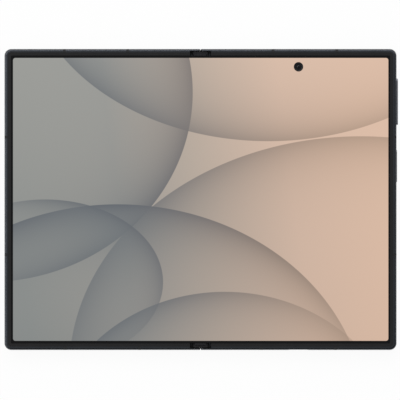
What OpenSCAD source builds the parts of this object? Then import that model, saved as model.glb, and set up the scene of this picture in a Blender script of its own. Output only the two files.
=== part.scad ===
// Foldable phone: two flat halves on a geared double-axis hinge, lying open on its back.
// X runs across the hinge, Y along it, Z out of the large display; millimetres.
// The origin is on the hinge line, level with the lowest point of the rear camera rings.
// Heights inside the modules count from the back plane of the halves.

/* [Body] */
// Height of the body, along the hinge
body_height = 123.9; // [122:0.1:126]
// Width of one half, from the hinge line to its outer side
half_width = 80.7; // [80:0.1:82]
// Thickness of one half
body_thickness = 4.9; // [4.8:0.05:5.1]
// Radius of the outer corners, seen from the front
corner_radius = 2.8; // [2.5:0.1:3.2]
// Radius of the crown across the side walls
crown_radius = 8.5; // [6:0.5:20]
// Rounding between the side walls and the flat faces
edge_round = 0.7; // [0.6:0.05:0.7]
// Width of the metal rim, seen from the front
rim_width = 1.42; // [1.35:0.01:1.5]

/* [Display] */
// Width of the black trim beside the rim
trim_width = 1.3; // [1.2:0.05:1.5]
// Thickness of the folding display
display_thickness = 0.61; // [0.5:0.01:0.62]
// Depth of the display face below the trim
display_recess = 0.25; // [0.25:0.01:0.3]
// Distance of the inner camera from the hinge line
inner_camera_x = 40.33; // [38:0.01:42]
// Distance of the inner camera from the middle of the height
inner_camera_y = 54.6; // [54:0.1:55]
// Diameter of the hole for the inner camera
inner_camera_hole = 3.8; // [3.6:0.1:4]

/* [Hinge] */
// Distance between the two fold axes
axis_spacing = 2.8; // [2.7:0.05:2.9]
// Gap between the halves when the phone is shut
closed_gap = 0.1; // [0.08:0.01:0.16]
// Outer radius of the spine about each fold axis
spine_radius = 2.75; // [2.7:0.05:2.8]
// Wall thickness of the spine
spine_wall = 0.4; // [0.35:0.05:0.45]
// Shift of each arm shaft from its fold axis, outwards and downwards
shaft_shift = 0.9; // [0.88:0.01:0.92]
// Share by which each tooth is thinned for play
tooth_play = 0.1; // [0.08:0.01:0.14]
// Distance of the two end hinge units from the middle
end_unit_y = 46; // [45:0.5:47]

/* [Keys] */
// Length of the volume key
volume_length = 19.07; // [18:0.01:20]
// Centre of the volume key from the middle of the height
volume_y = 40.25; // [39.5:0.05:41]
// How far the volume key stands out
volume_proud = 0.55; // [0.4:0.05:0.6]
// Length of the power key
power_length = 13.3; // [12.5:0.1:14]
// Centre of the power key from the middle of the height
power_y = 13.77; // [13.5:0.01:14]
// How far the power key stands out
power_proud = 0.2; // [0.15:0.05:0.4]
// Width of both keys
key_width = 1.7; // [1.6:0.05:1.8]
// Travel of both keys
key_travel = 0.25; // [0.2:0.01:0.25]

/* [Openings] */
// Centre of the charging socket from the hinge line
socket_x = 40.3; // [38:0.1:42]
// Centre of the card tray from the hinge line
tray_x = 17.5; // [17.4:0.1:17.6]

/* [Rear camera] */
// Centre of the camera island from the hinge line
island_x = 66; // [65:0.5:67]
// Centre of the camera island from the middle of the height
island_y = 36; // [35:0.5:37]
// Width of the camera island
island_width = 15.5; // [15:0.1:16]
// Length of the camera island
island_length = 36; // [35:0.5:37]
// Height of the camera island above the back
island_height = 1.5; // [1.3:0.1:1.7]
// Height of the lens rings above the island
ring_height = 0.6; // [0.4:0.1:0.8]

/* [Hidden] */
$fn = 48;

// Gap between pieces that are glued or laid together
seat_gap = 0.03;
half_height = body_height / 2;
back_lift = island_height + ring_height;

// Layers of a half, as heights above its back plane
cover_top = 0.5;
island_flange_top = 0.95;
ledge_top = 1.0;
inside_top = 3.2;
display_top = body_thickness - display_recess;
display_bottom = display_top - display_thickness;
plate_top = display_bottom - 0.02;
plate_bottom = plate_top - 0.15;
midplate_top = plate_bottom - 0.02;
trim_bottom = midplate_top + seat_gap;
lip_bottom = display_top + 0.05;
pack_bottom = 0.8;
pack_top = 3.1;

// Walls of a half, as distances inwards from its outer side
cover_inset = 1.05;
ledge_inset = 2.2;
inside_inset = 1.3;
trim_step = rim_width + 0.65;
display_inset = trim_step + 0.1;
crown_inset = crown_radius - sqrt(pow(crown_radius, 2) - pow(body_thickness / 2 - edge_round, 2));

// Fold axes: at these places the shut halves face each other with closed_gap between them
axis_x = axis_spacing / 2;
axis_z = body_thickness - axis_x + closed_gap / 2;
hinge_edge = closed_gap / 2;
end_wall = 0.73;
cap_gap = 0.27;
nub_reach = 0.4;
nub_half = 0.5;
nub_top = 1.2;
nub_play = 0.08;
hinge_wall_x = 4.4;
hinge_wall = 0.6;
spine_inside = spine_radius - spine_wall;
spine_top = 2.9;
base_radius = spine_inside - 0.02;
spine_half = half_height - end_wall - cap_gap;
under_spine = 0.55;
lug_top = axis_z - 0.25;
lug_half = axis_x + shaft_shift + 0.55;
post_top = axis_z + 0.18;
post_half = 0.35;

// Timing gears: arm gear, idler, idler, arm gear, all on one line
gear_x = axis_x + shaft_shift;
gear_z = axis_z - shaft_shift;
gear_pitch = 2 * gear_x / 3;
idler_x = gear_x - gear_pitch;
gear_teeth = 10;
gear_module = gear_pitch / gear_teeth;
pressure_angle = 20;
base_circle = gear_pitch / 2 * cos(pressure_angle);
tip_circle = gear_pitch / 2 + 0.8 * gear_module;
root_circle = gear_pitch / 2 - 1.05 * gear_module;
shaft_radius = 0.3;
shaft_play = 0.03;

// Tooth flanks are involutes of the base circle, from there to the tip
function involute(r) = let (a = acos(min(base_circle / r, 1))) tan(a) * 180 / PI - a;
tooth_half = 90 / gear_teeth * (1 - tooth_play) + involute(gear_pitch / 2);
flank_steps = 5;
flank = [for (i = [0 : flank_steps]) base_circle + (tip_circle - base_circle) * i / flank_steps];

function tooth_corner(r, a) = [r * cos(a), r * sin(a)];
function tooth(at) = concat(
  [tooth_corner(root_circle, at - tooth_half)],
  [for (r = flank) tooth_corner(r, at - tooth_half + involute(r))],
  [for (i = [flank_steps : -1 : 0]) tooth_corner(flank[i], at + tooth_half - involute(flank[i]))],
  [tooth_corner(root_circle, at + tooth_half)]
);

// Arm pin, and the arc slot that it slides along in its bracket
arm_pin_x = 7.0;
arm_pin_z = 3.1;
arm_pin_radius = 0.3;
arm_bottom = 3.0;
arm_top = 3.5;
slot_radius = shaft_shift * sqrt(2);

// Curved rails about the fold axes, which carry the halves
rail_inner = 1.5;
rail_outer = 2.0;
rail_play = 0.04;
rail_width = 3.0;

// Hinge units, as distances along Y from the middle of the unit
rib = 1.0;
lane = 3.2;
end_unit_half = 2 * rib + 1.5 * lane;
middle_unit_half = 1.5 * rib + lane;
end_rail_at = rib + lane;
middle_rail_at = (rib + lane) / 2;
end_units = [-end_unit_y, end_unit_y];
bracket_back = 9.6;
bracket_bottom = 2.9;
bracket_top = midplate_top - 0.04;
screw_radius = 0.4;
screw_play = 0.03;
bracket_screw_x = 8.95;
screw_from_end = 1.4;
unit_ends = [[-end_unit_y, end_unit_half], [0, middle_unit_half], [end_unit_y, end_unit_half]];
unit_screws = [for (unit = unit_ends, side = [-1, 1]) unit[0] + side * (unit[1] + screw_from_end)];
board_screws = [[15, 57], [54.5, 57], [75, -31.5], [75, 13]];

// Antenna gaps in the metal rim of each half
antenna_gap = 1.2;
main_antennas_top = [29.9, 56.05];
main_antennas_bottom = [25.0, 55.5];
cover_antennas_top = [29.9, 56.0];
cover_antennas_bottom = [25.0, 55.7];
antennas_side = [25.65, -22.7];

// Keys
key_z = 2.1;
key_flange = 0.2;
key_flange_depth = 0.35;
key_play = 0.06;

// Charging socket
socket_z = 2.25;
socket_wide = 8.94;
socket_high = 3.2;
socket_wall = 0.3;
socket_depth = 7.2;

// Card tray
tray_z = 2.05;
tray_door_wide = 12.4;
tray_door_high = 1.9;
tray_wide = 10.6;
tray_high = 1.1;
tray_length = 17;
card_wide = 8.9;
card_long = 12.4;
ejector_at = 4.6;
ejector_radius = 0.4;

// Rear cameras
ring_radius = 5.8;
ring_bore = 4.6;
camera_ys = [island_y + 10.25, island_y - 3];
flash_y = island_y - 12.5;
flash_radius = 1.7;
module_side = 9.6;

// Round and slotted holes through the rim
side_hole_z = 2.1;
microphone_radius = 0.4;
slot_half_width = 1;
slot_half_height = 0.45;
slot_pitch = 2.9;
speaker_x = 64.5;
speaker_slots = 5;
earpiece_x = 46.5;
earpiece_slots = 3;

// Outer display's camera
cover_camera_at = [-42, 56];

metal = [0.36, 0.37, 0.39];
dark_plastic = [0.1, 0.1, 0.11];
steel = [0.72, 0.73, 0.75];
glass_black = [0.04, 0.04, 0.05];
board_green = [0.08, 0.3, 0.2];
gold = [0.83, 0.66, 0.3];

// A box between three pairs of limits
module block(x, y, z) {
  translate([x[0], y[0], z[0]])
    cube([x[1] - x[0], y[1] - y[0], z[1] - z[0]]);
}

// A rectangle with four round corners
module rounded_rect(x, y, r) {
  translate([x[0] + r, y[0]])
    square([x[1] - x[0] - 2 * r, y[1] - y[0]]);
  translate([x[0], y[0] + r])
    square([x[1] - x[0], y[1] - y[0] - 2 * r]);
  for (cx = [x[0] + r, x[1] - r], cy = [y[0] + r, y[1] - r])
    translate([cx, cy])
      circle(r);
}

// A plate with four round corners
module slab(x, y, z, r) {
  translate([0, 0, z[0]])
    linear_extrude(z[1] - z[0])
      rounded_rect(x, y, r);
}

// An outline across the hinge, in X and Z, drawn out along Y
module along_y(y) {
  translate([0, y[1], 0])
    rotate([90, 0, 0])
      linear_extrude(y[1] - y[0])
        children();
}

// An outline in Y and Z, drawn out along X
module along_x(x) {
  translate([x[0], 0, 0])
    rotate([90, 0, 90])
      linear_extrude(x[1] - x[0])
        children();
}

// The half turn about Z that takes the main half's place to the cover half's
module other_side() {
  rotate([0, 0, 180])
    children();
}

module round_bar(x, y, z, r) {
  translate([x, y, z[0]])
    cylinder(h = z[1] - z[0], r = r);
}

// Outline of a half with square corners at the hinge side
module half_outline(inset, from_x) {
  r = max(corner_radius - inset, 0.3);
  x = half_width - inset;
  y = half_height - inset;
  translate([from_x, -y])
    square([x - r - from_x, 2 * y]);
  translate([from_x, r - y])
    square([x - from_x, 2 * y - 2 * r]);
  for (side = [-1, 1])
    translate([x - r, side * (y - r)])
      circle(r);
}

module half_layer(inset, from_x, z) {
  translate([0, 0, z[0]])
    linear_extrude(z[1] - z[0])
      half_outline(inset, from_x);
}

// Section of the outer edge: distance inwards against height
module edge_section() {
  intersection() {
    translate([0, edge_round])
      square([corner_radius / 2, body_thickness - 2 * edge_round]);
    translate([crown_radius, body_thickness / 2])
      circle(crown_radius, $fn = 180);
  }
  translate([crown_inset + edge_round, 0])
    square([corner_radius - crown_inset - edge_round, body_thickness]);
  for (z = [edge_round, body_thickness - edge_round])
    translate([crown_inset + edge_round, z])
      circle(edge_round);
}

// A whole half as one solid with crowned sides
module crowned_half() {
  flat_x = half_width - corner_radius;
  flat_y = half_height - corner_radius;
  half_layer(crown_inset + edge_round, hinge_edge, [0, body_thickness]);
  along_y([-flat_y, flat_y])
    translate([half_width, 0])
      mirror([1, 0])
        edge_section();
  for (side = [0, 1])
    mirror([0, side, 0]) {
      along_x([hinge_edge, flat_x])
        translate([half_height, 0])
          mirror([1, 0])
            edge_section();
      translate([flat_x, flat_y, 0])
        rotate_extrude(angle = 90)
          translate([corner_radius, 0])
            mirror([1, 0])
              edge_section();
    }
}

// What is cut from the hinge-side corners, so that the halves can turn past each other
module hinge_corner_cuts() {
  along_y([-half_height, half_height])
    difference() {
      translate([-1, axis_z])
        square([axis_x + 1, 2 * axis_x]);
      translate([axis_x, axis_z])
        circle(axis_x - hinge_edge);
    }
  notch = 0.5;
  for (side = [0, 1])
    mirror([0, side, 0]) {
      translate([0, 0, -1])
        linear_extrude(body_thickness + 2)
          difference() {
            translate([-1, half_height - notch])
              square([notch + hinge_edge + 1, notch + 1]);
            translate([hinge_edge + notch, half_height - notch])
              circle(notch);
          }
      block([-1, nub_half + nub_play],
            [half_height - end_wall - 0.1, spine_half + nub_reach + nub_play],
            [-1, nub_top + 0.4]);
    }
}

// Slot across the rim for one plastic antenna line; slack widens it
module antenna_slot(slack) {
  w = antenna_gap / 2 - slack;
  block([-w, w], [-rim_width + slack, 1], [-1, body_thickness + 1]);
}

module antenna_slots(at_top, at_bottom, slack) {
  for (x = at_top)
    translate([x, half_height, 0])
      antenna_slot(slack);
  for (x = at_bottom)
    translate([x, -half_height, 0])
      rotate([0, 0, 180])
        antenna_slot(slack);
  for (y = antennas_side)
    translate([half_width, y, 0])
      rotate([0, 0, -90])
        antenna_slot(slack);
}

// Frame of one half: crowned rim, middle plate, cover ledge and hinge-side wall
module half_frame(at_top, at_bottom) {
  module_slack = 0.1;
  difference() {
    crowned_half();
    hinge_corner_cuts();
    block([-1, hinge_wall_x], [end_wall - half_height, half_height - end_wall],
          [under_spine, body_thickness + 1]);
    half_layer(rim_width, hinge_wall_x - 1, [midplate_top, body_thickness + 1]);
    half_layer(cover_inset, hinge_wall_x + 0.3, [-1, cover_top]);
    half_layer(ledge_inset, hinge_wall_x + 1.2, [-1, ledge_top + 0.1]);
    half_layer(inside_inset, hinge_wall_x + hinge_wall, [ledge_top, inside_top]);
    for (y = end_units)
      block([hinge_wall_x - 1, bracket_back + module_slack],
            [y - end_unit_half - module_slack, y + end_unit_half + module_slack],
            [ledge_top, body_thickness]);
    block([hinge_wall_x - 1, bracket_back + module_slack],
          [-middle_unit_half - module_slack, middle_unit_half + module_slack],
          [ledge_top, body_thickness]);
    block([hinge_wall_x - 1, hinge_wall_x + 1], [15.6, 30.4], [spine_top, inside_top]);
    antenna_slots(at_top, at_bottom, 0);
  }
  for (y = end_units)
    bracket_ledge(y, end_unit_half);
  bracket_ledge(0, middle_unit_half);
}

// Ledge of the frame that a hinge bracket is screwed down on
module bracket_ledge(y, half_length) {
  ledge = [2.25, bracket_bottom - 0.02];
  screw_y = half_length - screw_from_end;
  difference() {
    union() {
      block([bracket_back - 1.2, bracket_back + 1.2],
            [y - half_length, y + half_length], ledge);
      block([bracket_back + 0.1, bracket_back + 1.2],
            [y - half_length, y + half_length], [ledge[0], inside_top + 0.1]);
    }
    for (side = [-1, 1])
      round_bar(bracket_screw_x, y + side * screw_y, [0, 5], screw_radius + screw_play);
  }
}

// Rounded bar of a key, its long side along Y, drawn along X
module key_bar(length, grow, x) {
  r = key_width / 2 + grow;
  along_x(x)
    translate([0, key_z])
      rounded_rect([-length / 2 - grow, length / 2 + grow], [-r, r], r - 0.01);
}

// A key with its retaining flange inside the wall and a domed outer face
module side_key(y, length, proud) {
  flange_out = half_width - inside_inset - 0.05;
  face = half_width + proud;
  chamfer = 0.12;
  translate([0, y, 0]) {
    key_bar(length, 0, [flange_out - 0.1, face - chamfer]);
    key_bar(length, -chamfer, [face - 2 * chamfer, face]);
    key_bar(length, key_flange, [flange_out - key_flange_depth, flange_out]);
  }
}

// Section of the charging socket, drawn along Y
module socket_outline(shrink) {
  r = socket_high / 2 - shrink;
  rounded_rect([-socket_wide / 2 + shrink, socket_wide / 2 - shrink], [-r, r], r - 0.01);
}

module tray_door(grow, y) {
  w = tray_door_wide / 2 + grow;
  h = tray_door_high / 2 + grow;
  along_y(y)
    translate([tray_x, tray_z])
      rounded_rect([-w, w], [-h, h], h - 0.01);
}

module main_frame() {
  color(metal)
    difference() {
      half_frame(main_antennas_top, main_antennas_bottom);
      translate([0, volume_y, 0])
        key_bar(volume_length, key_play, [half_width - 2, half_width + 1]);
      translate([0, power_y, 0])
        key_bar(power_length, key_play, [half_width - 2, half_width + 1]);
      along_y([-half_height - 1, -half_height + socket_depth + 1.5])
        translate([socket_x, socket_z])
          socket_outline(-0.05);
      tray_door(key_play, [-half_height - 1, -half_height + 2]);
      rim_slots(speaker_x, speaker_slots, [-half_height - 1, -half_height + 2.5]);
      for (y = camera_ys)
        block([island_x - 5, island_x + 5], [y - 5, y + 5], [inside_top - 1, midplate_top + 1]);
      round_bar(inner_camera_x, inner_camera_y, [inside_top - 1, midplate_top + 1], 2.1);
      microphone_hole(socket_x - 8, -1);
      microphone_hole(34.5, 1);
    }
}

// Row of sound slots through the rim, beginning at a distance from the hinge line
module rim_slots(from_x, count, y) {
  for (i = [0 : count - 1])
    along_y(y)
      translate([from_x + i * slot_pitch, side_hole_z])
        rounded_rect([-slot_half_width, slot_half_width],
                     [-slot_half_height, slot_half_height], slot_half_height - 0.01);
}

// Microphone hole through the rim, at the top for side 1 and at the bottom for side -1
module microphone_hole(x, side) {
  translate([x, side * (half_height - 1.3), side_hole_z])
    rotate([90, 0, 0])
      cylinder(h = 4, r = microphone_radius, center = true);
}

// Trim round three sides of the display, with a lip over the display's edge
module half_bezel() {
  color(dark_plastic)
    difference() {
      half_layer(rim_width + 0.02, hinge_wall_x - 0.1, [trim_bottom, body_thickness]);
      half_layer(trim_step, hinge_wall_x - 1, [trim_bottom - 1, lip_bottom]);
      half_layer(rim_width + trim_width, hinge_wall_x - 1, [trim_bottom, body_thickness + 1]);
    }
}

module main_bezel() {
  half_bezel();
}

// Outline of the camera island, grown by some distance
module island_slab(grow, z) {
  w = island_width / 2 + grow;
  l = island_length / 2 + grow;
  slab([island_x - w, island_x + w], [island_y - l, island_y + l], z, w - 0.01);
}

module rear_cover() {
  color([0.2, 0.21, 0.23])
    difference() {
      half_layer(cover_inset + 0.05, hinge_wall_x + 0.35, [0, cover_top - seat_gap]);
      island_slab(seat_gap, [-1, 1]);
    }
}

// Camera island: it stands through the rear cover, on a flange glued inside
module camera_island() {
  step = 0.35;
  flange = 1.2;
  color(metal)
    difference() {
      union() {
        island_slab(0, [step - island_height, cover_top + 0.1]);
        island_slab(-step, [-island_height, 0]);
        island_slab(flange, [cover_top, island_flange_top]);
      }
      for (y = camera_ys)
        round_bar(island_x, y, [-3, 1], ring_radius + 0.03);
      round_bar(island_x, flash_y, [-3, 1], flash_radius + 0.03);
    }
}

module camera_rings() {
  chamfer = 0.25;
  color(steel)
    for (y = camera_ys)
      translate([island_x, y, 0])
        rotate_extrude()
          polygon([
            [ring_bore, -back_lift + chamfer], [ring_bore + chamfer, -back_lift],
            [ring_radius - chamfer, -back_lift], [ring_radius, -back_lift + chamfer],
            [ring_radius, -0.05], [ring_bore, -0.05]
          ]);
}

module camera_lenses() {
  color(glass_black)
    for (y = camera_ys)
      round_bar(island_x, y, [-back_lift + 0.3, -island_height + 0.3], ring_bore - 0.03);
}

module camera_modules() {
  s = module_side / 2;
  color(dark_plastic)
    for (y = camera_ys) {
      round_bar(island_x, y, [-island_height + 0.4, island_flange_top + 0.1], 4.3);
      slab([island_x - s, island_x + s], [y - s, y + s], [island_flange_top + 0.03, 3.7], 0.6);
    }
}

module flash_lens() {
  color("ivory")
    round_bar(island_x, flash_y, [-island_height, -0.3], flash_radius);
}

module main_board() {
  thickness = 0.6;
  z = [1.5, 1.5 + thickness];
  color(board_green)
    difference() {
      union() {
        slab([12.5, 57], [33, 59.5], z, 1);
        slab([62, 77.5], [-34, 16], z, 1);
        slab([52, 77.5], [8, 15], z, 1);
        slab([52, 57], [8, 40], z, 1);
      }
      slab([inner_camera_x - 3.6, inner_camera_x + 3.6],
           [inner_camera_y - 3.6, inner_camera_y + 6], [0, 4], 0.5);
      for (at = board_screws)
        round_bar(at[0], at[1], [0, 4], screw_radius + screw_play);
    }
}

module shield_cans() {
  wall = 0.15;
  color(steel)
    for (can = [[[15, 33], [36, 50]], [[46.5, 55.5], [35.5, 52]], [[63.5, 75], [-28, -6]],
                [[63.5, 75], [-4, 9]]])
      difference() {
        slab(can[0], can[1], [2.12, 2.95], 0.8);
        slab([can[0][0] + wall, can[0][1] - wall], [can[1][0] + wall, can[1][1] - wall],
             [2, 2.95 - wall], 0.65);
      }
}

module main_battery() {
  color([0.16, 0.16, 0.18]) {
    slab([12.5, 50.5], [-33, 28], [pack_bottom, pack_top], 1.6);
    slab([14, 49], [28 - seat_gap, 30.5], [1.6, 2.4], 0.5);
  }
}

module usb_c_socket() {
  front = -half_height + 0.5;
  back = front + socket_depth;
  tongue = 0.35;
  color(steel) {
    difference() {
      along_y([front, back])
        translate([socket_x, socket_z])
          socket_outline(0.02);
      along_y([front - 1, back - 0.6])
        translate([socket_x, socket_z])
          socket_outline(socket_wall);
    }
    block([socket_x - 3.35, socket_x + 3.35], [front + 1, back - 0.3],
          [socket_z - tongue, socket_z + tongue]);
  }
}

module loudspeaker() {
  color(dark_plastic) {
    slab([58, 77.5], [-57.5, -40], [pack_bottom + 0.3, pack_top - 0.3], 1.2);
    block([speaker_x - 1.5, speaker_x + (speaker_slots - 1) * slot_pitch + 1.5],
          [-60.2, -57], [1.4, 2.8]);
  }
}

module sim_reader() {
  play = 0.08;
  w = tray_wide / 2 + play;
  h = tray_high / 2 + play;
  y = [-half_height + 1.6, -half_height + tray_length + 2.2];
  color(steel)
    difference() {
      block([tray_x - w - 0.25, tray_x + w + 0.25], y, [tray_z - h - 0.2, tray_z + h + 0.2]);
      block([tray_x - w, tray_x + w], [y[0] - 1, -half_height + tray_length + play],
            [tray_z - h, tray_z + h]);
      block([tray_x - 3.6, tray_x + 3.6], [y[0] + 3, y[0] + 12], [tray_z, 5]);
    }
}

module key_switches() {
  face = half_width - inside_inset - 0.05 - key_flange_depth - key_travel - 0.03;
  color(gold)
    for (y = [volume_y - 6, volume_y + 6, power_y])
      block([face - 1.1, face], [y - 1.6, y + 1.6], [key_z - 0.9, key_z + 0.9]);
}

module inner_camera() {
  color(dark_plastic) {
    slab([inner_camera_x - 3.2, inner_camera_x + 3.2],
         [inner_camera_y - 3.2, inner_camera_y + 3.2], [1.1, 3.0], 0.5);
    round_bar(inner_camera_x, inner_camera_y, [2.9, midplate_top], 2.0);
    round_bar(inner_camera_x, inner_camera_y, [midplate_top - 0.1, display_top - 0.1], 1.55);
  }
}

module charging_coil() {
  color([0.7, 0.4, 0.25])
    for (turn = [0 : 5])
      translate([32, -2, cover_top])
        difference() {
          cylinder(h = 0.25, r = 22 - 1.6 * turn);
          translate([0, 0, -1])
            cylinder(h = 2, r = 20.8 - 1.6 * turn);
        }
}

module antenna_lines(at_top, at_bottom) {
  color(dark_plastic)
    difference() {
      intersection() {
        crowned_half();
        antenna_slots(at_top, at_bottom, 0.02);
      }
      half_layer(cover_inset, hinge_wall_x, [-1, cover_top]);
    }
}

module main_antenna_lines() {
  antenna_lines(main_antennas_top, main_antennas_bottom);
}

module half_display() {
  half_layer(display_inset, hinge_wall_x + 0.02, [display_bottom, display_top]);
}

module display_main() {
  color(glass_black)
    difference() {
      half_display();
      round_bar(inner_camera_x, inner_camera_y, [0, 6], inner_camera_hole / 2);
    }
}

module half_support_plate() {
  half_layer(display_inset, hinge_wall_x + 0.02, [plate_bottom, plate_top]);
}

module main_support_plate() {
  color(steel)
    difference() {
      half_support_plate();
      round_bar(inner_camera_x, inner_camera_y, [0, 6], 2.1);
    }
}

// Wedge of a circle about the first fold axis, between two angles
module sector(from, to) {
  polygon(concat([[0, 0]], [for (i = [0 : 8]) let (a = from + (to - from) * i / 8)
                            [4 * cos(a), 4 * sin(a)]]));
}

// Section of the curved rail about the main half's fold axis, grown by play
module rail_section(from, to, play) {
  translate([axis_x, axis_z])
    intersection() {
      difference() {
        circle(rail_outer + play);
        circle(rail_inner - play);
      }
      sector(from, to);
    }
}

// Arc slot for an arm pin
module pin_slot() {
  r = arm_pin_radius + shaft_play;
  translate([arm_pin_x - shaft_shift, arm_pin_z + shaft_shift]) {
    intersection() {
      difference() {
        circle(slot_radius + r);
        circle(slot_radius - r);
      }
      sector(222, 318);
    }
    for (a = [222, 318])
      rotate(a)
        translate([slot_radius, 0])
          circle(r);
  }
}

// Bracket of one hinge unit on the main half, with its curved rail
module bracket(y, half_length, rail_at, with_arm) {
  front = hinge_wall_x + 0.05;
  cheek_in = lane / 2 + 0.02;
  rail_y = [y + rail_at - rail_width / 2, y + rail_at + rail_width / 2];
  screw_y = half_length - screw_from_end;
  difference() {
    union() {
      block([front, bracket_back], [y - half_length, y + half_length],
            [bracket_bottom, bracket_top]);
      along_y(rail_y) {
        rail_section(200, 360, 0);
        translate([axis_x + rail_inner + 0.05, arm_bottom])
          square([front + 0.1 - axis_x - rail_inner - 0.05, arm_top - arm_bottom]);
      }
      if (with_arm)
        block([front, 8.2], [y - lane / 2 - rib, y + lane / 2 + rib], [2.15, bracket_top]);
    }
    if (with_arm) {
      block([front - 1, 8.25], [y - cheek_in, y + cheek_in], [2, 3.62]);
      along_y([y - lane / 2 - rib - 1, y + lane / 2 + rib + 1])
        pin_slot();
    }
    for (side = [-1, 1])
      round_bar(bracket_screw_x, y + side * screw_y, [0, 5], screw_radius + screw_play);
  }
}

module all_brackets() {
  for (y = end_units)
    bracket(y, end_unit_half, end_rail_at, true);
  bracket(0, middle_unit_half, middle_rail_at, false);
}

module main_brackets() {
  color(steel)
    all_brackets();
}

module bracket_screws() {
  for (unit = unit_ends, side = [-1, 1])
    round_bar(bracket_screw_x, unit[0] + side * (unit[1] - screw_from_end),
              [2.3, bracket_top], screw_radius);
}

// Board screw: a flat head on a short shank
module board_screw(at) {
  round_bar(at[0], at[1], [1.2, 2.2], screw_radius);
  round_bar(at[0], at[1], [2.12, 2.6], 0.8);
}

module main_screws() {
  color(steel) {
    bracket_screws();
    for (at = board_screws)
      board_screw(at);
  }
}

// Magnets that face each other when the phone is shut
module half_magnets() {
  slab([59, 77.5], [55.5, 59.5], [1.4, pack_top], 0.4);
  slab([47, 56], [-58, -54], [1.4, pack_top], 0.4);
}

module main_magnets() {
  color(steel)
    half_magnets();
}

module volume_key() {
  color(metal)
    side_key(volume_y, volume_length, volume_proud);
}

module power_key() {
  color(metal)
    side_key(power_y, power_length, power_proud);
}

module sim_tray() {
  w = tray_wide / 2;
  h = tray_high / 2;
  front = -half_height + 0.1;
  color(metal)
    difference() {
      union() {
        tray_door(0, [front, front + 1.3]);
        block([tray_x - w, tray_x + w], [front + 1.2, -half_height + tray_length],
              [tray_z - h, tray_z + h]);
      }
      for (z = [[tray_z + 0.1, 5], [0, tray_z - 0.1]])
        slab([tray_x - card_wide / 2, tray_x + card_wide / 2],
             [front + 2.6, front + 2.6 + card_long], z, 0.8);
      translate([tray_x + ejector_at, front, tray_z])
        rotate([90, 0, 0])
          cylinder(h = 2.4, r = ejector_radius, center = true);
    }
}

// Lower half of a stadium about the two fold axes, below a level
module spine_section(r, top) {
  intersection() {
    union() {
      for (side = [-1, 1])
        translate([side * axis_x, axis_z])
          circle(r);
      translate([-axis_x, axis_z - r])
        square([2 * axis_x, 2 * r]);
    }
    translate([-2 * r, axis_z - 2 * r])
      square([4 * r, top - axis_z + 2 * r]);
  }
}

module spine_cover() {
  color(metal)
    along_y([-spine_half + 1, spine_half - 1])
      difference() {
        spine_section(spine_radius, spine_top);
        spine_section(spine_inside, spine_top + 1);
      }
}

// Walls that stand in a hinge unit above its plain section
module rib_top(y, top) {
  width = top == post_top ? post_half : lug_half;
  along_y([y, y + rib])
    translate([-width, axis_z - 1.5])
      square([2 * width, top - axis_z + 1.5]);
}

// Grooves for the curved rails of both halves, beginning at a distance from the unit's middle
module rail_grooves(y, from) {
  along_y([y + from, y + from + lane])
    rail_section(193, 365, rail_play);
  other_side()
    along_y([from - y, from - y + lane])
      rail_section(193, 365, rail_play);
}

// Base of an end unit: a block with a gear pocket between two bearing ribs
module end_unit_base(y) {
  difference() {
    union() {
      along_y([y - end_unit_half, y + end_unit_half])
        spine_section(base_radius, spine_top);
      for (at = [-lane / 2 - rib, lane / 2]) {
        rib_top(y + at, lug_top);
        rib_top(y + at, post_top);
      }
    }
    rail_grooves(y, lane / 2 + rib);
    block([-5, 5], [y - lane / 2, y + lane / 2], [axis_z - base_radius + 0.4, 9]);
    for (x = [-gear_x, -idler_x, idler_x, gear_x])
      translate([x, y, gear_z])
        rotate([90, 0, 0])
          cylinder(h = 2 * lane, r = shaft_radius + 0.02, center = true);
  }
}

// Base of the middle unit, which has only the curved grooves
module middle_unit_base() {
  difference() {
    union() {
      along_y([-middle_unit_half, middle_unit_half])
        spine_section(base_radius, spine_top);
      rib_top(-rib / 2, post_top);
    }
    rail_grooves(0, rib / 2);
  }
}

module hinge_bases() {
  foot = 1.3;
  color([0.55, 0.56, 0.58])
    difference() {
      union() {
        for (y = end_units)
          end_unit_base(y);
        middle_unit_base();
        for (y = unit_screws)
          slab([-foot, foot], [y - 1.6, y + 1.6], [axis_z - base_radius + 0.02, 1.9],
               foot - 0.01);
      }
      for (y = unit_screws)
        round_bar(0, y, [0, 5], screw_radius + screw_play);
    }
}

// Screws at both ends of every hinge unit, through its feet into the spine
module hinge_screws() {
  color(steel)
    for (y = unit_screws) {
      round_bar(0, y, [axis_z - spine_inside + 0.02, 2.0], screw_radius);
      round_bar(0, y, [1.92, 2.35], 0.75);
    }
}

// End caps of the spine. A nub on each closes the gap between the halves' rims.
module hinge_end_caps() {
  plug = 1.5;
  color(dark_plastic)
    for (side = [0, 1])
      mirror([0, side, 0]) {
        along_y([spine_half - 1 - plug, spine_half])
          spine_section(base_radius, spine_top);
        along_y([spine_half - 0.97, spine_half])
          spine_section(spine_radius, spine_top);
        slab([-2.9, 2.9], [spine_half - 1.9, spine_half], [2, 3.9], 0.5);
        slab([-2.3, 2.3], [spine_half - 1.85, spine_half - 1.0], [2, 4.4], 0.4);
        slab([-nub_half, nub_half], [spine_half - 0.5, spine_half + nub_reach],
             [axis_z - spine_radius + 0.1, nub_top], 0.2);
      }
}

module hinge_shafts() {
  color(steel)
    for (y = end_units, x = [-gear_x, -idler_x, idler_x, gear_x])
      translate([x, y, gear_z])
        rotate([90, 0, 0])
          cylinder(h = lane + 2 * rib, r = shaft_radius, center = true);
}

module fold_support() {
  color(steel)
    difference() {
      slab([-1.25, 1.25], [-58.6, 58.6], [post_top, post_top + 0.2], 0.4);
      for (y = [-54 : 6 : 54])
        slab([-0.85, 0.85], [y - 2, y + 2], [0, 6], 0.3);
    }
}

module hinge_flex() {
  color([0.75, 0.45, 0.1])
    slab([-11.4, 11.4], [16, 30], [2.98, 3.1], 0.5);
}

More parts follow.
